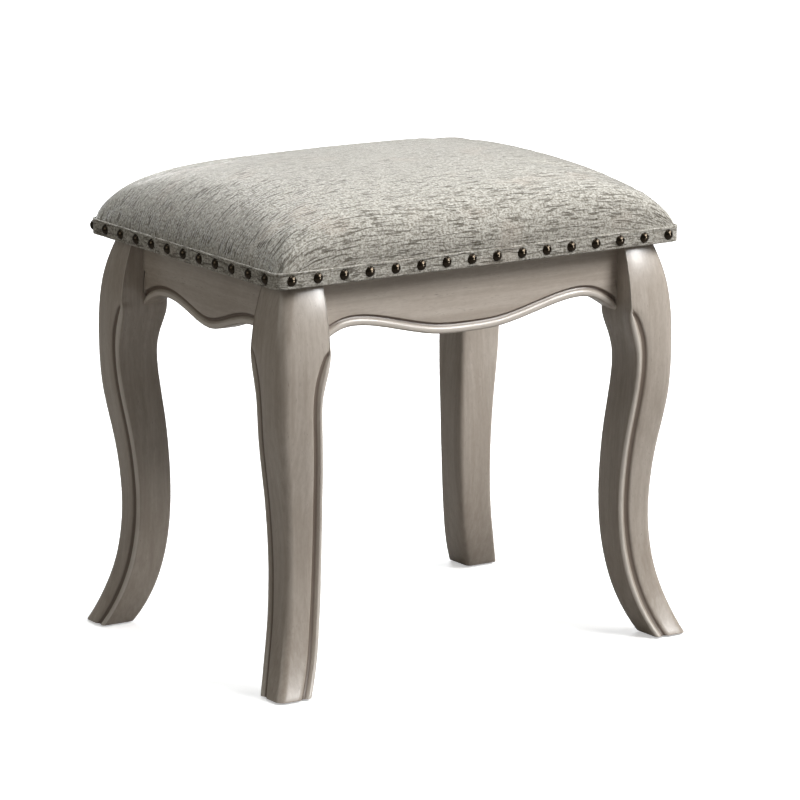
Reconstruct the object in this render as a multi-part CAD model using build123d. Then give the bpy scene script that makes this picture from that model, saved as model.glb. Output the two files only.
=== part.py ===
from build123d import *
import math
import os

# Upholstered vanity stool: four cabriole legs, scalloped aprons and a domed, nail-trimmed seat.
# Millimetres. +Z is up, +X runs along the long side, and the front faces -Y.
# The origin lies on the floor, under the middle of the stool.

# Driving dimensions
frame_height = 405.0          # floor to the top of the legs and aprons
seat_length = 474.0           # over the nailed band, along X
seat_depth = 363.0            # over the nailed band, along Y
seat_crown = 486.0            # floor to the top of the cushion
depth_cut = 52.0              # how much nearer the middle every leg and apron stands along Y than along X

post_inner = 177.0            # X of the leg's inner side face, where the long aprons butt
apron_face = 206.4            # X of the short apron's outer face
apron_thickness = 20.0
apron_arris = 2.0             # rounding of the bead's front edge
bead_groove_width = 2.6
bead_groove_depth = 2.0

glide_thickness = 2.0
glide_radius = 11.0
glide_edge = 0.8
glide_shift = 1.5             # how far the glide stands in from the middle of the foot, along X and along Y
glide_nail_radius = 1.1
glide_nail_length = 16.0

leg_outer_rounding = 15.0     # the outward corner of the square leg
leg_inner_rounding = 5.0

dowel_radius = 4.0
dowel_length = 36.0
long_dowel_heights = (352.0, 388.0)
short_dowel_heights = (363.5, 398.5)

block_bottom = 366.0
block_height = 34.0
block_near = 20.0             # distance of the block's near face from the corner, along each apron
block_far = 62.0

# Screws from the corner block into the aprons
block_screw_reach = 46.0      # where the screw into an apron stands, along that apron's neighbour
block_screw_height = 391.0
block_screw_sink = 4.0        # depth of the head below the block's slanting face
block_screw_bite = 13.0       # depth of the shank in the apron
block_screw_radius = 1.9
block_screw_head = (3.9, 2.4)     # radius and thickness
block_screw_pocket = (4.6, 12.0)  # radius and length of the bore for the head

# Screws from the corner block up into the seat board
seat_screw_near = 14.0
seat_screw_far = 30.0
seat_screw_sink = 12.0        # depth of the head above the block's underside
seat_screw_radius = 2.1
seat_screw_head = (4.0, 2.6)
seat_screw_pocket = 4.8
seat_screw_clear = 3.0        # wood left between the screw's end and the board's top

bolt_radius = 4.0
bolt_height = 375.0
bolt_tail = 12.0              # how far the bolt stands out behind the block, along X and along Y
bolt_in_leg = 24.0
washer_radius = 9.0
washer_thickness = 1.6
nut_radius = 7.2
nut_thickness = 6.5

dust_cover_thickness = 0.6
dust_cover_inset = 8.0
fabric_thickness = 1.2
fabric_turn_under = 30.0
board_thickness = 12.0
band_thickness = 1.5
band_height = 16.2
band_corner = 12.0

dome_start = 413.5            # height at which the cushion's side curve would be upright
dome_bow_x, dome_square_x = 6.8, 0.59
dome_bow_y, dome_square_y = 2.15, 0.20
dome_levels = [0.0, 0.25, 0.45, 0.62, 0.76, 0.87, 0.945, 0.985]     # as shares of the dome's rise
dome_corner_growth = 0.75     # how fast the plan corners round off as the dome rises
dome_corner_limit = 0.85

nail_radius = 5.4
nail_height = 3.4
nail_shank_radius = 0.8
nail_shank_length = 11.0
nail_line = 413.4
front_nails = 16
front_nail_reach = 220.6
side_nails = 11
side_nail_first, side_nail_last = -159.0, 147.5
rear_nails = 14
rear_nail_reach = 203.0

staple_width = 10.0
staple_wire = 0.5
staple_reach = 5.0
staple_inset = 5.0            # from the dust cover's edge
long_staples, long_staple_reach = 7, 150.0
short_staples, short_staple_reach = 5, 100.0

# Derived places
lip_bottom = frame_height + dust_cover_thickness
board_bottom = lip_bottom + fabric_thickness
board_top = board_bottom + board_thickness
cover_half_x = seat_length / 2 - band_thickness
cover_half_y = seat_depth / 2 - band_thickness
board_half_x = cover_half_x - fabric_thickness
board_half_y = cover_half_y - fabric_thickness
apron_inner = apron_face - apron_thickness
corner_signs = {
    "front_left": (-1, -1),
    "front_right": (1, -1),
    "rear_left": (-1, 1),
    "rear_right": (1, 1),
}

# Leg outline in the X-Z plane. The Y-Z outline is the same, moved in by depth_cut.
outer_knee = [(243.3, glide_thickness), (236.3, 18), (229.2, 38), (223.1, 60), (219.4, 80), (217.2, 100),
              (216.1, 122), (216.8, 150), (218.8, 175), (222, 200), (226.2, 225), (230.2, 250), (233.1, 281),
              (234.1, 305), (234, 328), (232.9, 345), (229.3, 370), (224, 390), (218.8, frame_height)]
inner_curve = [(205, glide_thickness), (188.8, 40), (179.8, 82), (175.9, 135), (177, 185), (179.4, 219),
               (182.4, 248), (184.6, 275), (184.3, 296), (181.4, 312), (178.2, 325)]
inner_shoulder = 336.0        # height at which the leg's inner side leaves the upright post
leg_groove = [(213.2, 0), (198, 40), (189.3, 82), (185.4, 135), (186.6, 185), (189, 219), (192, 248),
              (194.2, 275), (194, 296), (192.2, 312), (188.4, 325), (182.6, 336), (post_inner - 2, 343)]

# Lower edges of the aprons, from the middle to the leg, as distance from the middle and height
long_scallop = [(0, 334.8), (34, 336), (64, 341.4), (98, 349.8), (126, 354.6), (146, 353.4), (162, 346.2),
                (post_inner, 336)]
short_scallop = [(0, 334.4), (22, 337.8), (46, 345.2), (76, 351.2), (96, 350), (112, 344.5),
                 (post_inner - depth_cut, 336)]
long_bead_line = [(0, 343.4), (34, 344.7), (64, 350.1), (98, 359.1), (127, 363.9), (149, 361.8), (167, 353.4),
                  (post_inner + 1, 344)]
short_bead_line = [(0, 342.9), (22, 346.2), (46, 353.8), (78, 360.1), (99, 358.2), (117, 350.4),
                   (post_inner - depth_cut + 1, 344)]


def save(name, shape):
    """Writes one node as a STEP file."""
    shape.label = name
    export_step(shape, f"parts/{name}.step")


def across(face, low, high):
    """Pushes an upright face, drawn as X against height, from Y = low to Y = high."""
    return extrude(Plane(origin=(0, high, 0), x_dir=(1, 0, 0), z_dir=(0, -1, 0)) * face, high - low)


def along(face, low, high):
    """Pushes an upright face, drawn as Y against height, from X = low to X = high."""
    return extrude(Plane(origin=(low, 0, 0), x_dir=(0, 1, 0), z_dir=(1, 0, 0)) * face, high - low)


def rod(start, direction, radius, length):
    """A round bar that begins at start and runs length along direction."""
    return extrude(Plane(origin=start, z_dir=direction) * Circle(radius), length)


def to_corner(shape, corner):
    """Mirrors a shape of the rear right corner into another corner."""
    sign_x, sign_y = corner_signs[corner]
    if sign_x < 0:
        shape = mirror(shape, about=Plane.YZ)
    if sign_y < 0:
        shape = mirror(shape, about=Plane.XZ)
    return shape


def at_all_corners(shape):
    """The same shape in all four corners, as one group."""
    return [to_corner(shape, corner) for corner in corner_signs]


def group(name, shapes):
    """Writes several separate solids as one node."""
    save(name, Compound(children=[solid for shape in shapes for solid in shape.solids()]))


# Fasteners and joinery of the rear right corner

def long_dowels():
    """The two dowels that pin a long apron to the leg."""
    middle = apron_face - depth_cut - apron_thickness / 2
    return [
        rod((post_inner - dowel_length / 2, middle, height), (1, 0, 0), dowel_radius, dowel_length)
        for height in long_dowel_heights
    ]


def short_dowels():
    """The two dowels that pin a short apron to the leg."""
    middle = apron_face - apron_thickness / 2
    start = post_inner - depth_cut - dowel_length / 2
    return [
        rod((middle, start, height), (0, 1, 0), dowel_radius, dowel_length)
        for height in short_dowel_heights
    ]


def corner_point(from_short, from_long, height):
    """A point given by its distances from the inner faces of the short and the long apron."""
    return (apron_inner - from_short, apron_inner - depth_cut - from_long, height)


bolt_start = corner_point(block_far / 2 + bolt_tail, block_far / 2 + bolt_tail, bolt_height)
outward = (1, 1, 0)
leg_corner_gap = (block_far / 2 + bolt_tail + apron_thickness - (apron_face - post_inner)) * math.sqrt(2)
block_face_gap = bolt_tail * math.sqrt(2)


def leg_bolt():
    """The hanger bolt: it is screwed into the leg and its tail passes through the corner block."""
    return rod(bolt_start, outward, bolt_radius, leg_corner_gap + bolt_in_leg)


def washer_and_nut():
    """The washer against the block and the nut behind it, both round the bolt."""
    washer_at = Vector(*bolt_start) + Vector(*outward).normalized() * (block_face_gap - washer_thickness)
    nut_at = washer_at - Vector(*outward).normalized() * nut_thickness
    washer = rod(washer_at, outward, washer_radius, washer_thickness)
    nut_section = Plane(origin=nut_at, z_dir=outward) * RegularPolygon(nut_radius, 6)
    nut = extrude(nut_section, nut_thickness)
    return washer - leg_bolt(), nut - leg_bolt()


def block_screw(toward_short):
    """A wood screw through the block into an apron, and the pocket bored for its head."""
    head_at = block_far - block_screw_reach - block_screw_sink
    pocket_radius, pocket_length = block_screw_pocket
    pocket_at = head_at + pocket_length
    if toward_short:
        start = corner_point(head_at, block_screw_reach, block_screw_height)
        pocket_start = corner_point(pocket_at, block_screw_reach, block_screw_height)
        direction = (1, 0, 0)
    else:
        start = corner_point(block_screw_reach, head_at, block_screw_height)
        pocket_start = corner_point(block_screw_reach, pocket_at, block_screw_height)
        direction = (0, 1, 0)
    shank = rod(start, direction, block_screw_radius, head_at + block_screw_bite)
    head = rod(start, direction, *block_screw_head)
    return shank + head, rod(pocket_start, direction, pocket_radius, pocket_length)


def seat_screw(from_short, from_long):
    """An upright screw through the block into the seat board, and the pocket below its head."""
    head_height = block_bottom + seat_screw_sink
    head_at = corner_point(from_short, from_long, head_height)
    shank = rod(head_at, (0, 0, 1), seat_screw_radius, board_top - seat_screw_clear - head_height)
    head = rod(head_at, (0, 0, 1), *seat_screw_head)
    pocket_start = corner_point(from_short, from_long, block_bottom)
    pocket = rod(pocket_start, (0, 0, 1), seat_screw_pocket, seat_screw_sink)
    return shank + head, pocket


def corner_screws():
    """Both block screws and both seat screws of a corner, each with its pocket."""
    screws = [block_screw(True), block_screw(False)]
    seat = [seat_screw(seat_screw_near, seat_screw_far), seat_screw(seat_screw_far, seat_screw_near)]
    return screws, seat


def glide():
    """A plastic foot glide with its nail."""
    middle = (outer_knee[0][0] + inner_curve[0][0]) / 2
    at = (middle - glide_shift, middle - depth_cut - glide_shift)
    disc = rod((*at, 0), (0, 0, 1), glide_radius, glide_thickness)
    disc = fillet(disc.faces().sort_by(Axis.Z)[0].edges(), glide_edge)
    nail = rod((*at, glide_thickness / 2), (0, 0, 1), glide_nail_radius, glide_nail_length)
    return disc + nail


# Wooden frame

def leg_outline_face(shift):
    """The sawn side view of a leg, with every distance from the middle less by shift."""
    outer = Spline([(x - shift, z) for x, z in outer_knee])
    top = Line((outer_knee[-1][0] - shift, frame_height), (post_inner - shift, frame_height))
    shoulder = (post_inner - shift, inner_shoulder)
    post = Line((post_inner - shift, frame_height), shoulder)
    inner = Spline([shoulder] + [(x - shift, z) for x, z in reversed(inner_curve)])
    foot = Line((inner_curve[0][0] - shift, glide_thickness), (outer_knee[0][0] - shift, glide_thickness))
    return make_face([outer, top, post, inner, foot])


def leg_skin_face(shift):
    """The strip just inside the leg's outward curve, as deep as the groove beside the bead."""
    outer = Spline([(x - shift, z) for x, z in outer_knee])
    sunk = Spline([(x - shift - bead_groove_depth, z) for x, z in outer_knee])
    return make_face([outer, Line(outer @ 1, sunk @ 1), sunk, Line(sunk @ 0, outer @ 0)])


def leg_groove_face(shift):
    """The side view of the groove beside the bead, as a strip of even width."""
    return trace(Spline([(x - shift, z) for x, z in leg_groove]), bead_groove_width)


def rear_right_leg():
    """The leg of the +X +Y corner: square, sawn to the same curve from both sides, then rounded."""
    reach = outer_knee[0][0] + 10
    leg = across(leg_outline_face(0), 0, reach) & along(leg_outline_face(depth_cut), 0, reach)
    tall = leg.edges().filter_by(lambda edge: edge.length > 300)
    by_reach = tall.sort_by(lambda edge: edge.center().X + edge.center().Y)
    leg = fillet(by_reach[-1], leg_outer_rounding)
    tall = leg.edges().filter_by(lambda edge: edge.length > 300)
    leg = fillet(tall.sort_by(lambda edge: edge.center().X + edge.center().Y)[0], leg_inner_rounding)
    rear_groove = across(leg_groove_face(0), 0, reach) & along(leg_skin_face(depth_cut), 0, reach)
    side_groove = along(leg_groove_face(depth_cut), 0, reach) & across(leg_skin_face(0), 0, reach)
    for cutter in [rear_groove, side_groove, leg_bolt(), glide(), *long_dowels(), *short_dowels()]:
        leg = leg - cutter
    return leg


def half_curve(points):
    """A smooth symmetric line through the points and their mirror images."""
    return Spline([(-x, z) for x, z in reversed(points)] + list(points[1:]))


def apron_solid(half_length, scallop, bead_line):
    """An apron drawn as distance from the middle against height, with its outer face at depth 0."""
    lower = half_curve(scallop)
    top = Line((-half_length, frame_height), (half_length, frame_height))
    left = Line((-half_length, frame_height), lower @ 0)
    right = Line(lower @ 1, (half_length, frame_height))
    plate = extrude(make_face([lower, top, left, right]), apron_thickness)
    scalloped = plate.edges().filter_by(lambda edge: edge.length > half_length * 2 + 2)
    plate = fillet(scalloped.sort_by(lambda edge: edge.center().Z)[-1], apron_arris)
    groove = extrude(trace(half_curve(bead_line), bead_groove_width), bead_groove_depth)
    return plate - Location((0, 0, apron_thickness - bead_groove_depth)) * groove


def rear_apron():
    """The long apron at the back, before its holes."""
    blank = apron_solid(post_inner, long_scallop, long_bead_line)
    face = apron_face - depth_cut
    return Plane(origin=(0, face - apron_thickness, 0), x_dir=(-1, 0, 0), z_dir=(0, 1, 0)) * blank


def right_apron():
    """The short apron on the +X side, before its holes."""
    blank = apron_solid(post_inner - depth_cut, short_scallop, short_bead_line)
    return Plane(origin=(apron_inner, 0, 0), x_dir=(0, 1, 0), z_dir=(1, 0, 0)) * blank


def corner_block():
    """The block across the inside of the corner, glued and screwed to both aprons."""
    outline_points = [(0, block_near), (0, block_far), (block_far, 0), (block_near, 0)]
    wire = Polyline([corner_point(p, q, block_bottom) for p, q in outline_points], close=True)
    block = extrude(make_face(wire), block_height, dir=(0, 0, 1))
    block = block - leg_bolt()
    screws, seat = corner_screws()
    for screw, pocket in [*screws, *seat]:
        block = block - screw - pocket
    return block


# Seat

def rounded_slab(half_x, half_y, corner, low, high):
    """A slab with rounded plan corners."""
    return Location((0, 0, low)) * extrude(RectangleRounded(half_x * 2, half_y * 2, corner), high - low)


def dome(half_x, half_y, corner, low, crown):
    """The cushion's form: rounded rectangles that draw in as they rise to a crowned top."""
    rise = crown - dome_start
    sections = []
    for level in dome_levels:
        share_x = (1 - level ** (1 / dome_square_x)) ** (1 / dome_bow_x)
        share_y = (1 - level ** (1 / dome_square_y)) ** (1 / dome_bow_y)
        x, y = half_x * share_x, half_y * share_y
        height = max(low, dome_start + rise * level)
        rounding = min(x, y) * min(dome_corner_limit, corner / half_y + level * dome_corner_growth)
        sections.append(Location((0, 0, height)) * RectangleRounded(x * 2, y * 2, rounding))
    return loft(sections, ruled=True)


def band_nail(at, direction):
    """An upholstery nail: a domed head on the band and a shank into the board."""
    shank = Polyline(
        (0, nail_height), (0, -nail_shank_length), (nail_shank_radius, -nail_shank_length),
        (nail_shank_radius, 0), (nail_radius, 0),
    )
    ball_radius = (nail_radius ** 2 + nail_height ** 2) / (2 * nail_height)
    crown = RadiusArc((nail_radius, 0), (0, nail_height), -ball_radius)
    nail = revolve(Plane.XZ * make_face([shank, crown]), Axis.Z)
    return Plane(origin=at, z_dir=direction) * nail


def spread(first, last, count):
    """Evenly spaced places from first to last."""
    return [first + (last - first) * step / (count - 1) for step in range(count)]


def nail_rows():
    """The nails of each side, and with the rear row the nails on the two rear corners."""
    half_x, half_y = seat_length / 2, seat_depth / 2
    front = [band_nail((x, -half_y, nail_line), (0, -1, 0))
             for x in spread(-front_nail_reach, front_nail_reach, front_nails)]
    rear = [band_nail((x, half_y, nail_line), (0, 1, 0))
            for x in spread(-rear_nail_reach, rear_nail_reach, rear_nails)]
    rear += [corner_nail(sign_x) for sign_x in (-1, 1)]
    sides = {}
    for name, sign in (("left", -1), ("right", 1)):
        sides[name] = [band_nail((sign * half_x, y, nail_line), (sign, 0, 0))
                       for y in spread(side_nail_first, side_nail_last, side_nails)]
    return {"front": front, "rear": rear, **sides}


def corner_nail(sign_x):
    """The nail in the middle of a rear corner of the band, square to the band there."""
    slant = math.sqrt(0.5)
    at = (sign_x * (seat_length / 2 - band_corner * (1 - slant)),
          seat_depth / 2 - band_corner * (1 - slant), nail_line)
    return band_nail(at, (sign_x * slant, slant, 0))


def staple(x, y, turned):
    """A wire staple that holds the dust cover, with its crown below it."""
    wire = staple_wire
    crown = Box(staple_width, wire, wire)
    legs = [Pos(side * (staple_width - wire) / 2, 0, staple_reach / 2) * Box(wire, wire, staple_reach + wire)
            for side in (-1, 1)]
    shape = crown + legs[0] + legs[1]
    return Location((x, y, frame_height - wire / 2), (0, 0, 90 if turned else 0)) * shape


def staples():
    """Staples round the dust cover's edge, between the legs and outside the aprons."""
    edge_x = seat_length / 2 - dust_cover_inset - staple_inset
    edge_y = seat_depth / 2 - dust_cover_inset - staple_inset
    along_x = spread(-long_staple_reach, long_staple_reach, long_staples)
    along_y = spread(-short_staple_reach, short_staple_reach, short_staples)
    made = [staple(x, sign * edge_y, False) for sign in (-1, 1) for x in along_x]
    made += [staple(sign * edge_x, y, True) for sign in (-1, 1) for y in along_y]
    return made


def make_frame():
    """Legs, aprons, corner blocks and everything that fastens them."""
    leg = rear_right_leg()
    block = corner_block()
    screws, seat_screws = corner_screws()
    for corner in corner_signs:
        save(f"leg_{corner}", to_corner(leg, corner))
        save(f"corner_block_{corner}", to_corner(block, corner))
        save(f"foot_glide_{corner}", to_corner(glide(), corner))
    washer, nut = washer_and_nut()
    group("apron_dowels", at_all_corners(Compound(children=long_dowels() + short_dowels())))
    group("leg_bolts", at_all_corners(leg_bolt()))
    group("leg_bolt_washers", at_all_corners(washer))
    group("leg_bolt_nuts", at_all_corners(nut))
    group("block_screws", at_all_corners(Compound(children=[screw for screw, pocket in screws])))
    group("seat_screws", at_all_corners(Compound(children=[screw for screw, pocket in seat_screws])))

    rear, right = rear_apron(), right_apron()
    for corner in ("rear_left", "rear_right"):
        for cutter in [*long_dowels(), screws[1][0]]:
            rear = rear - to_corner(cutter, corner)
    for corner in ("front_right", "rear_right"):
        for cutter in [*short_dowels(), screws[0][0]]:
            right = right - to_corner(cutter, corner)
    save("apron_rear", rear)
    save("apron_front", mirror(rear, about=Plane.XZ))
    save("apron_right", right)
    save("apron_left", mirror(right, about=Plane.YZ))


def make_seat():
    """The board, foam, fabric cover, nailed band, dust cover and their fastenings."""
    board_corner = band_corner - band_thickness - fabric_thickness
    board = rounded_slab(board_half_x, board_half_y, board_corner, board_bottom, board_top)
    foam = dome(board_half_x, board_half_y, board_corner, board_top, seat_crown - fabric_thickness)
    skin = rounded_slab(cover_half_x, cover_half_y, band_corner - band_thickness, lip_bottom, board_top)
    skin = skin + dome(cover_half_x, cover_half_y, band_corner - band_thickness, board_top, seat_crown)
    opening = rounded_slab(board_half_x - fabric_turn_under, board_half_y - fabric_turn_under,
                           board_corner, lip_bottom - 1, board_bottom + 1)
    cover = skin - board - foam - opening
    band_top = frame_height + band_height
    band = rounded_slab(seat_length / 2, seat_depth / 2, band_corner, frame_height, band_top)
    band = band - rounded_slab(cover_half_x, cover_half_y, band_corner - band_thickness,
                               frame_height - 1, band_top + 1)
    dust = rounded_slab(seat_length / 2 - dust_cover_inset, seat_depth / 2 - dust_cover_inset,
                        band_corner, frame_height, lip_bottom)
    seat_screws = corner_screws()[1]
    for screw in at_all_corners(Compound(children=[screw for screw, pocket in seat_screws])):
        board, cover, dust = board - screw, cover - screw, dust - screw
    nails = nail_rows()
    shanks = [nail for row in nails.values() for nail in row]
    board = board - shanks - staples()
    cover = cover - shanks - staples()
    band = band - shanks
    dust = dust - staples()
    save("seat_board", board)
    save("seat_foam", foam)
    save("seat_cover", cover)
    save("seat_band", band)
    save("dust_cover", dust)
    group("dust_cover_staples", staples())
    for side, row in nails.items():
        group(f"nailheads_{side}", row)


os.makedirs("parts", exist_ok=True)
make_frame()
make_seat()
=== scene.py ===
"""The looks of an upholstered vanity stool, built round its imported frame.

Lengths are in metres, in the frame's own axes: +Z up, +X along the seat's long side, front at -Y.
"""
import functools
import logging
import math
from dataclasses import dataclass
from enum import Enum
from typing import Callable, Optional, Sequence

import bmesh
import bpy
import numpy
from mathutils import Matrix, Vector, noise


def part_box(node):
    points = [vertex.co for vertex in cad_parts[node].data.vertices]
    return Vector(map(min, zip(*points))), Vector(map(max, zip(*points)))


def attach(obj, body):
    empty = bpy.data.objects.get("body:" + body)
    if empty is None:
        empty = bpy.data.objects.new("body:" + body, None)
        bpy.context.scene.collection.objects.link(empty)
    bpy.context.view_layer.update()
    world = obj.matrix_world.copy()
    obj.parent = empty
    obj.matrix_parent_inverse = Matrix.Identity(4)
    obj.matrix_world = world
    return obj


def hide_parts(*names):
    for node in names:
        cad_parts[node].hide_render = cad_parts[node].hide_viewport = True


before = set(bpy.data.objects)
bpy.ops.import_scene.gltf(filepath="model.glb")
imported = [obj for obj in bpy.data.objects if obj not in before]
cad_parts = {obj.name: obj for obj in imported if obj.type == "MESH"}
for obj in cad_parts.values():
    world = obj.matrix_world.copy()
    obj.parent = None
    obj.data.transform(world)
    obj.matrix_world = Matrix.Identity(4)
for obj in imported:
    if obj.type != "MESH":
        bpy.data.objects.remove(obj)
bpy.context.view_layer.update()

log = logging.getLogger("stool")

MM = 0.001
MERGE = 1e-6
PLY = 3.4 * MM
BODY = "root"

Point = tuple[float, float, float]
Socket = bpy.types.NodeSocket
Piece = bpy.types.Object
Finish = bpy.types.Material


class Part(Enum):
    """A corner or a side, which names the frame's nodes there."""

    @property
    def label(self) -> str:
        """The name as the frame's nodes spell it."""
        return self.name.lower()


class Corner(Part):
    """The four corners of the stool, each with the signs of its X and Y."""

    FRONT_LEFT = (-1, -1)
    FRONT_RIGHT = (1, -1)
    REAR_LEFT = (-1, 1)
    REAR_RIGHT = (1, 1)


class Side(Part):
    """The four sides of the stool, each with its outward direction."""

    FRONT = (0, -1)
    REAR = (0, 1)
    LEFT = (-1, 0)
    RIGHT = (1, 0)

    @property
    def along_x(self) -> bool:
        """Whether the side's length runs along X."""
        return self.value[0] == 0

    def place(self, along: float, out: float, height: float) -> Point:
        """A point given by its distance along the side, outward from the middle, and height."""
        x, y = self.value
        return (along, y * out, height) if self.along_x else (x * out, along, height)


class Grain(Enum):
    """Which way the wood grain runs in a piece."""

    ALONG_X = "x"
    ALONG_Y = "y"
    ALONG_Z = "z"

    def stretched(self, along: float, across: float) -> Point:
        """Pattern scales that draw a pattern out along the grain."""
        return tuple(along if self.value == axis else across for axis in "xyz")


# ---------------------------------------------------------------- numbers

def ease(value: float, low: float, high: float) -> float:
    """A smooth step from 0 at low to 1 at high.

    Args:
        value: the number that is placed between the two ends.
        low: where the step starts.
        high: where the step ends; it may be below low, and then the step falls.

    Returns:
        A number from 0 to 1.
    """
    share = min(1.0, max(0.0, (value - low) / (high - low)))
    return share * share * (3 - 2 * share)


def mix(a: float, b: float, share: float) -> float:
    """The number that lies share of the way from a to b."""
    return a + (b - a) * share


def spread(first: float, last: float, count: int) -> list[float]:
    """Evenly spaced numbers from first to last."""
    return [mix(first, last, step / (count - 1)) for step in range(count)]


@dataclass(frozen=True)
class Curve:
    """A smooth line through a few points, read as height against place.

    Attributes:
        points: pairs of place and value, in rising order of place.
    """

    points: tuple[tuple[float, float], ...]

    def slope(self, index: int) -> float:
        """The line's slope at one of its points, flat at a peak or a dip."""
        if index in (0, len(self.points) - 1):
            a, b = (0, 1) if index == 0 else (-2, -1)
            return (self.points[b][1] - self.points[a][1]) / (self.points[b][0] - self.points[a][0])
        (x0, y0), (x1, y1), (x2, y2) = self.points[index - 1:index + 2]
        before, after = (y1 - y0) / (x1 - x0), (y2 - y1) / (x2 - x1)
        if before * after <= 0:
            return 0.0
        return 2 * before * after / (before + after)

    def at(self, place: float) -> float:
        """The value at a place, held level past either end."""
        if place <= self.points[0][0]:
            return self.points[0][1]
        for index in range(len(self.points) - 1):
            (x0, y0), (x1, y1) = self.points[index], self.points[index + 1]
            if place <= x1:
                span = x1 - x0
                t = (place - x0) / span
                m0, m1 = self.slope(index) * span, self.slope(index + 1) * span
                return (
                    (2 * t ** 3 - 3 * t ** 2 + 1) * y0 + (t ** 3 - 2 * t ** 2 + t) * m0
                    + (3 * t ** 2 - 2 * t ** 3) * y1 + (t ** 3 - t ** 2) * m1
                )
        return self.points[-1][1]


# ---------------------------------------------------------------- the frame's own shapes

class Outline:
    """The mesh edges of a CAD node, kept so that levels can be cut through it."""

    def __init__(self, node: str) -> None:
        """Reads the ends of every edge of the node's mesh."""
        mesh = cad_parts[node].data
        places = numpy.empty(len(mesh.vertices) * 3)
        mesh.vertices.foreach_get("co", places)
        ends = numpy.empty(len(mesh.edges) * 2, dtype=int)
        mesh.edges.foreach_get("vertices", ends)
        places = places.reshape(-1, 3)
        self.begins, self.ends = places[ends[0::2]], places[ends[1::2]]

    def cut(self, axis: int, place: float) -> numpy.ndarray:
        """Where a level meets the edges.

        Args:
            axis: 0, 1 or 2 for a cut square to X, Y or Z.
            place: where the cut lies on that axis.

        Returns:
            The points where the edges cross the cut, one in each row.
        """
        a, b = self.begins[:, axis], self.ends[:, axis]
        crossing = ((a - place) * (b - place) <= 0) & (a != b)
        begins, ends = self.begins[crossing], self.ends[crossing]
        share = (place - begins[:, axis]) / (ends[:, axis] - begins[:, axis])
        return begins + share[:, None] * (ends - begins)


# ---------------------------------------------------------------- mesh building

@dataclass(frozen=True)
class Station:
    """One vertex of a ring.

    Attributes:
        at: where the vertex lies.
        glaze: how much brown glaze has settled there, from 0 to 1.
        wear: how much the finish is rubbed through there, from 0 to 1.
    """

    at: Point
    glaze: float = 0.0
    wear: float = 0.0


class Skin:
    """A surface drawn by extruding a ring of vertices from one station to the next."""

    def __init__(self) -> None:
        """Starts an empty surface with its two finish layers."""
        self.bm = bmesh.new()
        self.glaze = self.bm.verts.layers.float.new("glaze")
        self.wear = self.bm.verts.layers.float.new("wear")
        self.ring: list[bmesh.types.BMVert] = []
        self.first: list[bmesh.types.BMVert] = []

    def ring_edges(self, ring: Sequence[bmesh.types.BMVert]) -> list[bmesh.types.BMEdge]:
        """The edges that join a ring's vertices, in order."""
        pairs = zip(ring, list(ring[1:]) + [ring[0]])
        return [edge for edge in (self.bm.edges.get(pair) for pair in pairs) if edge]

    def add(self, stations: Sequence[Station]) -> None:
        """Extrudes the last ring to a new set of stations.

        Args:
            stations: the new ring, with as many vertices as the ring before it.
        """
        if not self.ring:
            self.ring = [self.bm.verts.new(station.at) for station in stations]
            for a, b in zip(self.ring, self.ring[1:] + [self.ring[0]]):
                self.bm.edges.new((a, b))
            self.first = list(self.ring)
        else:
            old = set(self.ring)
            made = bmesh.ops.extrude_edge_only(self.bm, edges=self.ring_edges(self.ring))
            partner = {}
            for vertex in (item for item in made["geom"] if isinstance(item, bmesh.types.BMVert)):
                for edge in vertex.link_edges:
                    other = edge.other_vert(vertex)
                    if other in old:
                        partner[other] = vertex
            self.ring = [partner[vertex] for vertex in self.ring]
        for vertex, station in zip(self.ring, stations):
            vertex.co = station.at
            vertex[self.glaze] = station.glaze
            vertex[self.wear] = station.wear

    def cap(self) -> None:
        """Closes both ends with a face."""
        for ring in (self.first, self.ring):
            bmesh.ops.contextual_create(self.bm, geom=self.ring_edges(ring))

    def as_wood(self, node: str, material: Finish) -> Piece:
        """Closes the surface as a wooden piece.

        Args:
            node: the CAD node that it stands for.
            material: its finish.

        Returns:
            The piece.
        """
        self.cap()
        piece = object_from(self.bm, f"{node}_wood", 50)
        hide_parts(node)
        return dress(piece, material)

    def join_ends(self) -> None:
        """Joins the last ring to the first, as on a strip that runs all the way round."""
        edges = self.ring_edges(self.first) + self.ring_edges(self.ring)
        bmesh.ops.bridge_loops(self.bm, edges=edges)


def settle(bm: bmesh.types.BMesh) -> None:
    """Sorts a mesh's edges and faces by their vertices, so that every run gives the same mesh.

    Args:
        bm: the mesh, which is changed.
    """
    bm.verts.index_update()
    for items in (bm.edges, bm.faces):
        ranked = sorted(items, key=lambda item: sorted(vertex.index for vertex in item.verts))
        ranks = {item: rank for rank, item in enumerate(ranked)}
        items.sort(key=ranks.get)


def object_from(bm: bmesh.types.BMesh, name: str, sharp: float = 40.0, weld: float = MERGE,
                outward: bool = True) -> Piece:
    """Makes an object from a bmesh, merged and smoothly shaded.

    Args:
        bm: the mesh, which is used up.
        name: the object's name.
        sharp: edges that fold by more than this many degrees stay crisp.
        weld: vertices closer than this become one.
        outward: whether to turn the faces outward.

    Returns:
        The new object, linked to the scene.
    """
    bmesh.ops.remove_doubles(bm, verts=bm.verts[:], dist=weld)
    if outward:
        bmesh.ops.recalc_face_normals(bm, faces=bm.faces[:])
    settle(bm)
    mesh = bpy.data.meshes.new(name)
    bm.to_mesh(mesh)
    bm.free()
    mesh.shade_smooth()
    mesh.set_sharp_from_angle(angle=math.radians(sharp))
    made = bpy.data.objects.new(name, mesh)
    bpy.context.scene.collection.objects.link(made)
    return made


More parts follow.
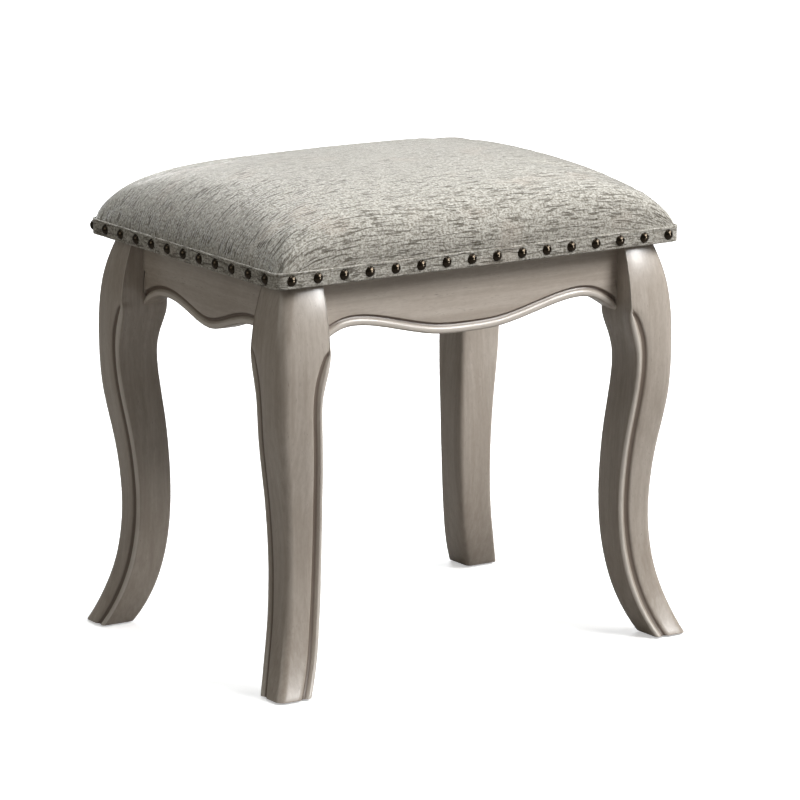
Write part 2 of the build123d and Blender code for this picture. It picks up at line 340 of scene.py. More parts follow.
def smooth_copy(node: str, name: str, sharp: float = 35.0) -> Piece:
    """A welded, smoothly shaded copy of a CAD node, which then stands for it.

    Args:
        node: the CAD node's name.
        name: the new piece's name.
        sharp: edges that fold by more than this many degrees stay crisp.

    Returns:
        The new piece.
    """
    bm = bmesh.new()
    bm.from_mesh(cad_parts[node].data)
    made = object_from(bm, name, sharp, 2 * MERGE, outward=False)
    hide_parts(node)
    return made


def paint(piece: Piece, material: Finish) -> None:
    """Gives a piece one material in place of any that it has."""
    piece.data.materials.clear()
    piece.data.materials.append(material)


def dress(piece: Piece, material: Finish) -> Piece:
    """Gives a new piece its finish and lets it ride with the stool.

    Args:
        piece: the new piece.
        material: its material.

    Returns:
        The piece.
    """
    paint(piece, material)
    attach(piece, BODY)
    log.info("%s: %d faces", piece.name, len(piece.data.polygons))
    return piece


# ---------------------------------------------------------------- shader writing

def sign(operation: str, reflected: bool = False) -> Callable:
    """Writes the method that stands for one sign of arithmetic.

    Args:
        operation: the Math node's operation.
        reflected: whether the signal stands on the right of the sign.

    Returns:
        The method, which takes the signal and the other value.
    """
    def method(self: "Signal", other: object) -> "Signal":
        """Adds a Math node on this signal and another value."""
        return self.maths(operation, *((other, self) if reflected else (self, other)))

    return method


class Signal:
    """A shader socket that carries a number, with the usual signs of arithmetic."""

    __add__ = __radd__ = sign("ADD")
    __mul__ = __rmul__ = sign("MULTIPLY")
    __sub__, __rsub__ = sign("SUBTRACT"), sign("SUBTRACT", reflected=True)

    def __init__(self, shader: "Shader", socket: Socket) -> None:
        """Keeps the socket and the shader that it belongs to."""
        self.shader = shader
        self.socket = socket

    def maths(self, operation: str, *values: object) -> "Signal":
        """Adds a Math node on this signal and other values."""
        return self.shader.number("ShaderNodeMath", {"operation": operation}, dict(enumerate(values)))

    def sine(self) -> "Signal":
        """The sine of this signal, in radians."""
        return self.maths("SINE", self)

    def step(self, low: float, high: float) -> "Signal":
        """A smooth step from 0 at low to 1 at high."""
        return self.shader.number(
            "ShaderNodeMapRange",
            {"interpolation_type": "SMOOTHSTEP"},
            {"Value": self, "From Min": low, "From Max": high},
        )


class Shader:
    """A node material that is written as expressions."""

    def __init__(self, name: str) -> None:
        """Starts a material with one Principled shader."""
        self.material = bpy.data.materials.new(f"{name}_finish")
        self.material.use_nodes = True
        self.tree = self.material.node_tree
        self.tree.nodes.clear()
        self.surface = self.tree.nodes.new("ShaderNodeBsdfPrincipled")
        output = self.tree.nodes.new("ShaderNodeOutputMaterial")
        self.tree.links.new(self.surface.outputs["BSDF"], output.inputs["Surface"])

    def node(self, kind: str, settings: Optional[dict] = None,
             inputs: Optional[dict] = None) -> bpy.types.Node:
        """Adds a node.

        Args:
            kind: the node's type.
            settings: its properties, which are set first.
            inputs: values or links of its sockets, by name or by number.

        Returns:
            The node.
        """
        made = self.tree.nodes.new(kind)
        for key, value in (settings or {}).items():
            setattr(made, key, value)
        for key, value in (inputs or {}).items():
            self.join(value, made.inputs[key])
        return made

    def join(self, value: object, socket: Socket) -> None:
        """Links a signal to a socket, or sets the socket to a value."""
        if isinstance(value, Signal):
            value = value.socket
        if isinstance(value, Socket):
            self.tree.links.new(value, socket)
        elif socket.type == "RGBA" and len(value) == 3:
            socket.default_value = (*value, 1.0)
        else:
            socket.default_value = value

    def number(self, kind: str, settings: Optional[dict] = None, inputs: Optional[dict] = None,
               output: object = 0) -> Signal:
        """Adds a node and returns one of its outputs as a signal."""
        return Signal(self, self.node(kind, settings, inputs).outputs[output])

    def place(self, scale: Point = (1, 1, 1), uv: bool = False) -> Socket:
        """The surface's own coordinates, scaled along each axis.

        Args:
            scale: how many pattern units make a metre along each axis.
            uv: whether to read the piece's UV map instead of its place.

        Returns:
            A vector socket.
        """
        start = self.node("ShaderNodeTexCoord").outputs["UV" if uv else "Object"]
        return self.node("ShaderNodeMapping", None, {"Vector": start, "Scale": scale}).outputs["Vector"]

    def height(self) -> Signal:
        """The height above the floor."""
        return self.number("ShaderNodeSeparateXYZ", None, {"Vector": self.place()}, "Z")

    def noise(self, scale: Point, detail: float, roughness: float, uv: bool = False) -> Signal:
        """Soft noise.

        Args:
            scale: how many pattern units make a metre along each axis.
            detail: how many finer layers are added.
            roughness: how strong each finer layer is.
            uv: whether to read the piece's UV map instead of its place.

        Returns:
            The noise, from 0 to 1.
        """
        inputs = {"Vector": self.place(scale, uv), "Scale": 1.0, "Detail": detail}
        inputs["Roughness"] = roughness
        return self.number("ShaderNodeTexNoise", None, inputs, "Fac")

    def attribute(self, name: str) -> Signal:
        """A number that the mesh carries at its vertices."""
        return self.number("ShaderNodeAttribute", {"attribute_name": name}, None, "Fac")

    def blend(self, factor: object, a: object, b: object, mode: str = "MIX") -> Socket:
        """A colour between two colours."""
        made = self.node("ShaderNodeMix", {"data_type": "RGBA", "blend_type": mode})
        self.join(factor, made.inputs["Factor"])
        for value, index in ((a, 6), (b, 7)):
            self.join(value, made.inputs[index])
        return made.outputs[2]

    def bump(self, height: Signal, distance: float, strength: float = 1.0) -> None:
        """Feeds a height in pattern units to the surface's normal."""
        inputs = {"Height": height, "Distance": distance, "Strength": strength}
        made = self.node("ShaderNodeBump", None, inputs)
        self.join(made.outputs["Normal"], self.surface.inputs["Normal"])

    def set(self, **values: object) -> None:
        """Sets or links the shader's own sockets, named with underscores for spaces."""
        for name, value in values.items():
            self.join(value, self.surface.inputs[name.replace("_", " ").title().replace("Ior", "IOR")])


# ---------------------------------------------------------------- finishes

@dataclass(frozen=True)
class WashedWood:
    """A grey-taupe wash over hardwood, with brown glaze left in the grooves and a satin lacquer."""

    grain: Grain
    wash: Point = (0.540, 0.486, 0.430)
    shade: Point = (0.395, 0.340, 0.288)
    # Painted light: a factor on both wash colours that makes a piece paler, used to lift the aprons
    # where the seat's overhang shades them.
    painted_light_lift: float = 1.0
    glaze: Point = (0.120, 0.082, 0.058)
    rubbed: Point = (0.78, 0.73, 0.67)
    roughness: float = 0.34

    def make(self) -> Finish:
        """Writes the material."""
        shader = Shader(f"washed_wood_{self.grain.value}")
        streaks = shader.noise(self.grain.stretched(9, 230), 4, 0.62)
        bands = shader.noise(self.grain.stretched(3.5, 60), 3, 0.55)
        clouds = shader.noise((14, 14, 14), 2, 0.5)
        mottle = shader.noise(self.grain.stretched(130, 420), 3, 0.65)
        pores = shader.noise(self.grain.stretched(120, 1500), 1, 0.5)
        fleck = pores.step(0.66, 0.74) * streaks.step(0.42, 0.62)
        tone = streaks * 0.42 + bands * 0.28 + clouds * 0.25 + mottle * 0.25
        # Painted light: both wash colours are scaled up by this piece's lift.
        shade, pale = (
            tuple(value * self.painted_light_lift for value in colour) for colour in (self.shade, self.wash))
        wash = shader.blend(tone.step(0.42, 0.80), shade, pale)
        dark = shader.blend(fleck * 0.45, wash, self.glaze)
        glaze = shader.attribute("glaze")
        settled = (glaze * (0.72 + streaks * 0.5)).step(0.18, 0.92)
        glazed = shader.blend(settled * 0.84, dark, self.glaze)
        wear = shader.attribute("wear")
        rubbed = (wear * (0.45 + clouds * 1.1)).step(0.40, 0.95)
        # Painted shade: below about 0.30 m the colour is blended toward a multiply by the darker wash
        # tone, strongest at the floor, so the lower legs look less lit.
        low = 1 - shader.height().step(-0.04, 0.30)
        glazed_with_painted_shade = shader.blend(low * 0.24, glazed, self.shade, "MULTIPLY")
        colour = shader.blend(rubbed * 0.62, glazed_with_painted_shade, self.rubbed)
        shader.set(
            base_color=colour,
            roughness=self.roughness + (streaks - 0.5) * 0.12 + settled * 0.16,
            coat_weight=0.55, coat_roughness=0.22, specular_ior_level=0.5,
        )
        shader.bump(streaks * 0.6 + fleck * -0.7 + bands * 0.3, 0.00022, 0.55)
        return shader.material


@dataclass(frozen=True)
class Chenille:
    """A pale nubby chenille with short grey-brown slubs along its weft. Its UV map is in metres."""

    name: str = "chenille"
    pale: Point = (0.580, 0.564, 0.518)
    ground: Point = (0.212, 0.195, 0.163)
    slub: Point = (0.085, 0.074, 0.056)
    warm: Point = (0.44, 0.372, 0.315)

    def make(self) -> Finish:
        """Writes the material."""
        shader = Shader(self.name)
        cloth_noise = functools.partial(shader.noise, uv=True)
        nub = cloth_noise((430, 520, 1), 2, 0.65)
        clumps = cloth_noise((260, 200, 1), 2, 0.6)
        yarn = cloth_noise((130, 600, 1), 2, 0.6)
        slubs = cloth_noise((54, 390, 1), 1, 0.5)
        strands = cloth_noise((42, 300, 1), 1, 0.5)
        patches = cloth_noise((24, 32, 1), 2, 0.5).step(0.30, 0.62)
        dash = slubs.step(0.575, 0.645) * (0.50 + patches * 0.42)
        strand = strands.step(0.600, 0.660) * (0.58 + patches * 0.32)
        dark = dash.maths("MAXIMUM", dash, strand)
        grain = (nub * 0.52 + yarn * 0.24 + clumps * 0.24).step(0.38, 0.62)
        cloth = shader.blend(grain, self.ground, self.pale)
        blotch = cloth_noise((15, 19, 1), 2, 0.5).step(0.54, 0.72)
        tinted = shader.blend(blotch * 0.30, cloth, self.warm)
        colour = shader.blend(dark * 0.78, tinted, self.slub)
        shader.set(
            base_color=colour, roughness=0.95, specular_ior_level=0.12,
            sheen_weight=1.0, sheen_roughness=0.28, sheen_tint=(1.0, 0.99, 0.98),
        )
        shader.bump(nub * 0.5 + yarn * 0.3 + clumps * 0.2 - dark * 0.5, 0.0012, 0.8)
        return shader.material


@dataclass(frozen=True)
class Metal:
    """A metal finish: aged bronze or zinc plate."""

    name: str
    colour: Point
    worn: Point
    roughness: float
    mottle: float = 0.35

    def make(self) -> Finish:
        """Writes the material."""
        shader = Shader(self.name)
        mottling = shader.noise((420, 420, 420), 3, 0.6)
        scratches = shader.noise((2200, 1700, 1900), 2, 0.6)
        colour = shader.blend(mottling.step(0.45, 0.75) * self.mottle, self.colour, self.worn)
        shader.set(base_color=colour, metallic=1.0, roughness=self.roughness + (mottling - 0.5) * 0.22)
        shader.bump(mottling * 0.7 + scratches * 0.3, 0.00012, 0.35)
        return shader.material


@dataclass(frozen=True)
class BareWood:
    """Unfinished wood for the hidden frame parts, or the plies of a board."""

    name: str
    pale: Point
    dark: Point
    grain: Grain = Grain.ALONG_X
    plies: bool = False

    def make(self) -> Finish:
        """Writes the material."""
        shader = Shader(self.name)
        streaks = shader.noise(self.grain.stretched(8, 180), 4, 0.6)
        knots = shader.noise((25, 25, 25), 2, 0.5)
        tone = streaks * 0.7 + knots * 0.3
        if self.plies:
            layer = (shader.height() * (2 * math.pi / PLY)).sine()
            tone = tone + layer.step(-0.2, 0.2) * 0.16 - 0.08
        colour = shader.blend(tone.step(0.3, 0.7), self.dark, self.pale)
        shader.set(base_color=colour, roughness=0.72 + streaks * 0.15)
        shader.bump(streaks, 0.00025, 0.6)
        return shader.material


@dataclass(frozen=True)
class DustCloth:
    """Black non-woven cloth under the seat."""

    colour: Point = (0.020, 0.020, 0.022)
    fibre: Point = (0.060, 0.060, 0.062)

    def make(self) -> Finish:
        """Writes the material."""
        shader = Shader("dust_cloth")
        fibres = shader.noise((900, 900, 900), 4, 0.7)
        dots = shader.noise((420, 420, 1), 1, 0.5)
        colour = shader.blend(fibres.step(0.5, 0.8), self.colour, self.fibre)
        shader.set(base_color=colour, roughness=0.95, sheen_weight=0.15)
        shader.bump(fibres * 0.6 + dots * 0.4, 0.0004, 0.7)
        return shader.material


@dataclass(frozen=True)
class Plastic:
    """Dark moulded plastic with a fine texture."""

    name: str = "glide_plastic"
    colour: Point = (0.030, 0.026, 0.023)

    def make(self) -> Finish:
        """Writes the material."""
        shader = Shader(self.name)
        texture = shader.noise((1600, 1600, 1600), 2, 0.5)
        scuffs = shader.noise((90, 260, 120), 3, 0.6)
        paler = tuple(value * 2.6 for value in self.colour)
        shader.set(
            base_color=shader.blend(scuffs.step(0.55, 0.8) * 0.6, self.colour, paler),
            roughness=0.48 + scuffs * 0.2,
        )
        shader.bump(texture, 0.00008, 0.5)
        return shader.material


# ---------------------------------------------------------------- cabriole legs

@dataclass
class CabrioleLeg:
    """A square cabriole leg with a bead along the inner edge of both outward faces.

    Each row of the cove holds a reach from the groove's middle in half widths, a share of the
    groove's depth, glaze and wear.
    """

    corner: Corner
    material: Finish
    shoulder: float = 338 * MM
    fade: float = 6 * MM
    groove_half: float = 2.7 * MM
    groove_depth: float = 2.7 * MM
    bead_rise: float = 4.2 * MM
    ear: float = 1.6 * MM
    knee_drop: float = 3.0 * MM
    ankle_drop: float = 0.3 * MM
    knee_rounding: float = 11 * MM
    ankle_rounding: float = 8 * MM
    cove: tuple = (
        (-0.45, 0.85, 0.95, 0.0), (0.15, 1.0, 1.0, 0.0), (0.80, 0.70, 0.90, 0.0),
        (1.25, 0.20, 0.35, 0.20),
    )
    inner_rounding: float = 5 * MM
    edge_reach: float = 9 * MM
    edge_drop: float = 0.8 * MM
    foot_rounding: float = 1.2 * MM
    clearance: float = 0.2 * MM
    step: float = 5 * MM
    fine_step: float = 2 * MM

    def __post_init__(self) -> None:
        """Reads the leg's outline and extent from the frame."""
        self.node = f"leg_{self.corner.label}"
        self.outline = Outline(self.node)
        self.low, self.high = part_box(self.node)

    def heights(self) -> list[float]:
        """The heights of the rings, closer together at the foot and at the shoulder."""
        low, high = self.low.z, self.high.z
        levels = [low, low + 0.4 * self.foot_rounding, low + self.foot_rounding]
        height = low + 4 * MM
        while height < high - self.fine_step:
            levels.append(height)
            near = abs(height - self.shoulder) < 15 * MM
            height += self.fine_step if near else self.step
        return levels + [high]

    def groove_place(self, height: float) -> float:
        """Distance of the groove's middle from the leg's inner edge."""
        return Curve((
            (self.low.z, 9.6 * MM), (60 * MM, 9.8 * MM), (150 * MM, 9.2 * MM), (290 * MM, 8.9 * MM),
            (312 * MM, 9.6 * MM), (324 * MM, 8.6 * MM), (332 * MM, 6.2 * MM),
            (self.shoulder, 2.8 * MM), (self.shoulder + self.fade, 0.5 * MM),
        )).at(height)

    def section(self, width: float, height: float) -> list[tuple[float, float, float, float]]:
        """Half of the leg's section, from the inner corner to the outer corner.

        Args:
            width: the leg's width at this height.
            height: the height above the floor.

        Returns:
            Rows of distance from the inner edge, distance toward the outward face, glaze and wear.
        """
        beaded = 1 - ease(height, self.shoulder - 3 * MM, self.shoulder + self.fade)
        knee = ease(height, 210 * MM, 330 * MM)
        drop = mix(self.ankle_drop, self.knee_drop, knee)
        groove = self.groove_place(height)
        half = mix(0.4 * MM, self.groove_half, beaded)
        depth = self.groove_depth * beaded
        rise = mix(1.2 * MM, self.bead_rise, beaded)
        bead = max(groove - 0.7 * half, 0.9 * MM)
        bulge = self.ear * ease(height, 285 * MM, 318 * MM) * beaded
        sunk = 0.3 * MM
        inner = self.inner_rounding
        rounding = mix(self.ankle_rounding, self.knee_rounding, knee)

        def edge_fall(place: float) -> float:
            """How far the face drops toward its inner edge."""
            return max(0.0, 1 - place / self.edge_reach) ** 2 * self.edge_drop

        def convex(place: float, level: float) -> tuple[float, float]:
            """Draws a place on the square section in to the convex faces."""
            flat = 0.30
            fall = [drop * max(0.0, (value / width - flat) / (1 - flat)) ** 2
                    for value in (place, level)]
            return place - fall[1] * (place / width) ** 2, level - fall[0] * (level / width) ** 2

        rows = [(0.29 * inner, 0.29 * inner, 0.0, 0.2), (0.1 * inner, 0.62 * inner, 0.0, 0.1),
                (0.0, inner, 0.0, 0.0)]
        below = width - rise - 2 * MM
        rows += [(0.0, mix(inner, below, share), 0.0, 0.0) for share in (0.33, 0.67, 1.0)]
        for turn in (0, 18, 36, 55, 74, 94, 116, 138):
            angle = math.radians(turn)
            along = bead / 2 * (1 - math.cos(angle)) - bulge * math.cos(angle / 1.6) ** 2
            up = width - sunk - rise + rise * math.sin(angle)
            up = max(up, width - sunk - depth) if turn > 90 else up
            glaze, wear = 0.3 * beaded if turn > 130 else 0.0, 0.9 if 20 < turn < 110 else 0.3
            rows.append((along, up, glaze, wear))
        for reach, sink, glaze, wear in self.cove:
            place = groove + reach * half
            level = width - edge_fall(place) - sink * max(depth, 0.02 * MM)
            rows.append((place, level, glaze * beaded, wear))
        start, stop = groove + 1.8 * half, width - rounding
        for share in (0.0, 0.25, 0.5, 0.75, 1.0):
            place = mix(start, stop, share)
            light = (0.08 * beaded, 0.15) if share == 0 else (0.0, 0.0)
            rows.append((place, width - edge_fall(place), *light))
        for turn in (9, 18, 27, 36, 45):
            angle = math.radians(turn)
            along = width - rounding + rounding * math.sin(angle)
            rows.append((along, width - rounding + rounding * math.cos(angle), 0.0, 0.2))
        return [(*convex(place, level), glaze, wear) for place, level, glaze, wear in rows]

    def ring(self, height: float) -> list[Station]:
        """One ring of the leg, in the frame's place and size.

        Args:
            height: the ring's height above the floor.

        Returns:
            The ring's stations, in order round the leg.
        """
        low, high = self.low, self.high
        level = min(max(height, low.z + 0.05 * MM), high.z - 0.05 * MM)
        cut = numpy.abs(self.outline.cut(2, level)).tolist()
        near_x, far_x = (pick(point[0] for point in cut) for pick in (min, max))
        near_y, far_y = (pick(point[1] for point in cut) for pick in (min, max))
        width = ((far_x - near_x) + (far_y - near_y)) / 2
        shrink = self.clearance * (1 - ease(height, low.z - 0.3 * MM, low.z + self.foot_rounding))
        foot_wear = 0.25 * (1 - ease(height, 6 * MM, 22 * MM))
        rows = self.section(width, height)
        rows += [(q, p, glaze, wear) for p, q, glaze, wear in reversed(rows[1:-1])]
        sign_x, sign_y = self.corner.value
        ring = []
        for p, q, glaze, wear in rows:
            p, q = (mix(value, width / 2, 2 * shrink / width) for value in (p, q))
            at = (sign_x * (near_x + p), sign_y * (near_y + q), height)
            ring.append(Station(at, glaze, min(1.0, wear + foot_wear)))
        return ring

    def build(self) -> Piece:
        """Builds the leg."""
        skin = Skin()
        for height in self.heights():
            skin.add(self.ring(height))
        return skin.as_wood(self.node, self.material)


# ---------------------------------------------------------------- aprons

@dataclass
class Apron:
    """A flat apron with a scalloped lower edge that carries a bead and a groove.

    Each row of the groove holds shares of the groove's width and depth, glaze and wear.
    """

    side: Side
    material: Finish
    stations: int = 85
    bead_width: float = 7.8 * MM
    groove_width: float = 3.8 * MM
    groove_depth: float = 3.0 * MM
    groove: tuple = (
        (0.25, 1.0, 1.0, 0.0), (0.55, 0.98, 1.0, 0.0), (0.82, 0.55, 0.8, 0.0),
        (1.0, 0.10, 0.45, 0.35), (1.35, 0.0, 0.15, 0.2),
    )
    edge_rounding: float = 3.4 * MM
    back_rounding: float = 0.8 * MM
    tenon: float = 1.2 * MM

    def __post_init__(self) -> None:
        """Reads the apron's outline and extent from the frame."""
        self.node = f"apron_{self.side.label}"
        self.outline = Outline(self.node)
        self.low, self.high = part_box(self.node)
        self.axis = 0 if self.side.along_x else 1

    def lower_edge(self, along: float) -> float:
        """The height of the scalloped edge at a distance along the apron."""
        end = self.high[self.axis] - 0.02 * MM
        return float(self.outline.cut(self.axis, min(max(along, -end), end))[:, 2].min())

    def profile(self, face_height: float) -> list[tuple[float, float, float, float]]:
        """The apron's section beside the lower edge.

        Args:
            face_height: distance from the lower edge to the apron's top.

        Returns:
            Rows of distance from the lower edge, depth behind the face, glaze and wear.
        """
        bead = self.bead_width
        rows = [(0.0, 6.5 * MM, 0.0, 0.0), (0.15 * MM, 4.2 * MM, 0.25, 0.2)]
        for turn in (18, 38, 60, 82, 104, 128, 152):
            angle = math.radians(turn)
            up = bead / 2 * (1 - math.cos(angle))
            depth = self.edge_rounding * (1 - math.sin(angle) ** 0.8)
            rows.append((up, depth, 0.5 if turn > 140 else 0.0, 1.0 if 50 < turn < 115 else 0.3))
        for across, sink, glaze, wear in self.groove:
            rows.append((bead + across * self.groove_width, self.groove_depth * sink, glaze, wear))
        start = rows[-1][0]
        face = (mix(start, face_height, share) for share in (0.12, 0.4, 0.7, 1.0))
        return rows + [(up, 0.0, 0.0, 0.0) for up in face]

    def ring(self, along: float, reach: float, face: float, back: float, top: float) -> list[Station]:
        """One section of the apron, square to its lower edge there.

        Args:
            along: the section's distance from the apron's middle.
            reach: half the apron's length.
            face: the outer face's distance from the stool's middle.
            back: the inner face's distance from the stool's middle.
            top: the height of the apron's top.

        Returns:
            The section's stations, in order.
        """
        nudge = 2.5 * MM
        edge = self.lower_edge(along)
        rise = (self.lower_edge(along + nudge) - self.lower_edge(along - nudge)) / (2 * nudge)
        square_to = Vector((-rise, 1.0)).normalized()
        turned = 1 - ease(abs(along), reach - 9 * MM, reach - 1 * MM)
        square_to = Vector((square_to.x * turned, square_to.y))
        ring = []
        for up, depth, glaze, wear in self.profile(top - edge):
            settle = 1 - ease(up, 10 * MM, 40 * MM)
            lean = along + square_to.x * up * settle
            height = edge + up * mix(1.0, square_to.y, settle)
            lean = max(-reach, min(reach, lean))
            ring.append(Station(self.side.place(lean, face - depth, height), glaze, wear))
        lip = self.back_rounding
        behind = ((0, top), (0, mix(top, edge, 0.5)), (0, edge + lip),
                  (math.copysign(lip, face - back), edge))
        return ring + [Station(self.side.place(along, back + out, up)) for out, up in behind]

    def build(self) -> Piece:
        """Builds the apron."""
        low, high, axis = self.low, self.high, self.axis
        inward, outward = sorted(abs(end[1 - axis]) for end in (low, high))
        reach = high[axis] + self.tenon
        skin = Skin()
        for along in spread(-reach, reach, self.stations):
            skin.add(self.ring(along, reach, outward, inward, high.z))
        return skin.as_wood(self.node, self.material)


# ---------------------------------------------------------------- the seat

@dataclass
class Cushion:
    """The domed seat: fabric stretched over foam and pulled down to the band."""

    material: Finish
    across: int = 96
    along: int = 76
    bow_x: float = 6.8
    square_x: float = 0.59
    bow_y: float = 2.154
    square_y: float = 0.182
    corner: float = 10 * MM
    tucked: float = 7.7 * MM
    puff_room: float = 1.2 * MM
    inflate: float = 3 * MM
    frames: int = 20

    def __post_init__(self) -> None:
        """Reads the seat's extent from the frame, and the height where the dome starts."""
        low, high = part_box("seat_cover")
        self.half_x, self.half_y, self.foot = high.x, high.y, low.z
        self.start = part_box("seat_band")[1].z - self.tucked
        self.rise = high.z - self.puff_room - self.start

    def dome(self, x: float, y: float) -> float:
        """The share of the dome's rise at a place given as shares of the half lengths."""
        over_x = max(0.0, 1 - abs(x) ** self.bow_x) ** self.square_x
        over_y = max(0.0, 1 - abs(y) ** self.bow_y) ** self.square_y
        return over_x * over_y

    def even_places(self, half: float, bow: float, square: float) -> tuple[list[float], list[float]]:
        """Length along the seat's middle profile, from its top out to its edge.

        Args:
            half: the profile's half length.
            bow: the exponent that sets how early it starts to fall.
            square: the exponent that sets how upright its edge is.

        Returns:
            Shares of the whole length, and the matching shares of the half length.
        """
        levels = [step / 400 for step in range(401)]
        places = sorted({(1 - level ** (1 / square)) ** (1 / bow) for level in levels} | set(levels))
        heights = [max(0.0, 1 - place ** bow) ** square for place in places]
        lengths = [0.0]
        for index in range(1, len(places)):
            run = (places[index] - places[index - 1]) * half
            fall = (heights[index] - heights[index - 1]) * self.rise
            lengths.append(lengths[-1] + math.hypot(run, fall))
        return [length / lengths[-1] for length in lengths], places

    def rounded(self, x: float, y: float) -> tuple[float, float]:
        """Draws a place on the seat's rectangle into the same rectangle with rounded corners.

        Args:
            x: place along the seat.
            y: place across the seat.

        Returns:
            The new place, which differs only near the corners.
        """
        inner_x, inner_y = self.half_x - self.corner, self.half_y - self.corner
        past_x, past_y = abs(x) - inner_x, abs(y) - inner_y
        if past_x <= 0 or past_y <= 0:
            return x, y
        scale = max(past_x, past_y) / math.hypot(past_x, past_y)
        new_x, new_y = inner_x + past_x * scale, inner_y + past_y * scale
        return math.copysign(new_x, x), math.copysign(new_y, y)

    def build(self) -> Piece:
        """Builds the cushion: a grid raised to a dome, closed below, then puffed up."""
        half_x, half_y, start, foot = self.half_x, self.half_y, self.start, self.foot
        bm = bmesh.new()
        bmesh.ops.create_grid(bm, x_segments=self.across, y_segments=self.along, size=1.0)
        sheet = bm.verts.layers.float_vector.new("sheet")
        along_x = self.even_places(half_x, self.bow_x, self.square_x)
        along_y = self.even_places(half_y, self.bow_y, self.square_y)
        for vertex in bm.verts:
            x, y = (math.copysign(numpy.interp(abs(value), *profile), value)
                    for value, profile in zip(vertex.co[:2], (along_x, along_y)))
            vertex[sheet] = vertex.co.copy()
            vertex.co = (*self.rounded(x * half_x, y * half_y), start + self.rise * self.dome(x, y))
        rim = [edge for edge in bm.edges if edge.is_boundary]
        for height in (start - 4 * MM, foot + 1 * MM, foot):
            made = bmesh.ops.extrude_edge_only(bm, edges=rim)
            rim = [item for item in made["geom"] if isinstance(item, bmesh.types.BMEdge)
                   and item.is_boundary]
            for vertex in {vertex for edge in rim for vertex in edge.verts}:
                vertex.co.z = height
                if height == foot:
                    vertex.co.x *= 1 - 1 * MM / half_x
                    vertex.co.y *= 1 - 1 * MM / half_y
        bmesh.ops.contextual_create(bm, geom=rim)
        cushion = object_from(bm, "seat_cushion", 80)
        self.puff(cushion)
        self.lay_cloth(cushion)
        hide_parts("seat_cover", "seat_foam")
        return dress(cushion, self.material)

    def puff(self, cushion: Piece) -> None:
        """Lets cloth pressure draw the cover tight, with its rim held at the band.

        Args:
            cushion: the cushion, whose mesh takes the result.
        """
        rest = [vertex.co.copy() for vertex in cushion.data.vertices]
        group = cushion.vertex_groups.new(name="held")
        for vertex in cushion.data.vertices:
            hold = 1 - ease(vertex.co.z, self.start + 0.5 * MM, self.start + 9 * MM)
            if hold > 0:
                group.add([vertex.index], hold, "REPLACE")
        cloth = cushion.modifiers.new("cloth", "CLOTH")
        settings = {
            "quality": 6, "mass": 0.35, "tension_stiffness": 40, "compression_stiffness": 40,
            "shear_stiffness": 12, "bending_stiffness": 1.5, "use_pressure": True,
            "uniform_pressure_force": 4, "vertex_group_mass": "held",
        }
        for name, value in settings.items():
            setattr(cloth.settings, name, value)
        cloth.settings.effector_weights.gravity = 0
        cloth.collision_settings.use_collision = False
        cloth.point_cache.frame_start, cloth.point_cache.frame_end = 1, self.frames
        scene = bpy.context.scene
        for number in range(1, self.frames + 1):
            scene.frame_set(number)
        shaped = cushion.evaluated_get(bpy.context.evaluated_depsgraph_get())
        moved = [vertex.co.copy() for vertex in shaped.data.vertices]
        cushion.modifiers.remove(cloth)
        cushion.vertex_groups.clear()
        scene.frame_set(1)
        largest = 0.0
        for vertex, old, new in zip(cushion.data.vertices, rest, moved):
            shift = new - old
            largest = max(largest, shift.length)
            if shift.length > 0:
                share = math.tanh(shift.length / self.inflate / 2)
                shift = shift.normalized() * self.inflate * share
            vertex.co = old + shift
        log.info("cloth moved the cover by up to %.1f mm", largest / MM)

    def lay_cloth(self, cushion: Piece) -> None:
        """Writes the cover's UV map: metres along the cloth from the middle of the seat.

        Args:
            cushion: the cushion, whose mesh still carries its place on the flat sheet.
        """
        mesh = cushion.data
        attribute = mesh.attributes["sheet"]
        places, columns, rows = {}, {}, {}
        for vertex in mesh.vertices:
            sheet = attribute.data[vertex.index].vector
            if vertex.co.z < self.start - 3 * MM:
                continue
            columns.setdefault(round(sheet.x, 4), []).append((sheet.y, vertex))
            rows.setdefault(round(sheet.y, 4), []).append((sheet.x, vertex))
        for lines, axis in ((rows, 0), (columns, 1)):
            for line in lines.values():
                line.sort(key=lambda item: item[0])
                lengths = [0.0]
                for (_, a), (_, b) in zip(line, line[1:]):
                    lengths.append(lengths[-1] + (b.co - a.co).length)
                for (_, vertex), length in zip(line, lengths):
                    places.setdefault(vertex.index, [0.0, 0.0])[axis] = length - lengths[-1] / 2
        layer = mesh.uv_layers.new(name="cloth")
        for loop in mesh.loops:
            vertex = mesh.vertices[loop.vertex_index]
            layer.data[loop.index].uv = places.get(loop.vertex_index, vertex.co.xy)
        mesh.attributes.remove(mesh.attributes["sheet"])


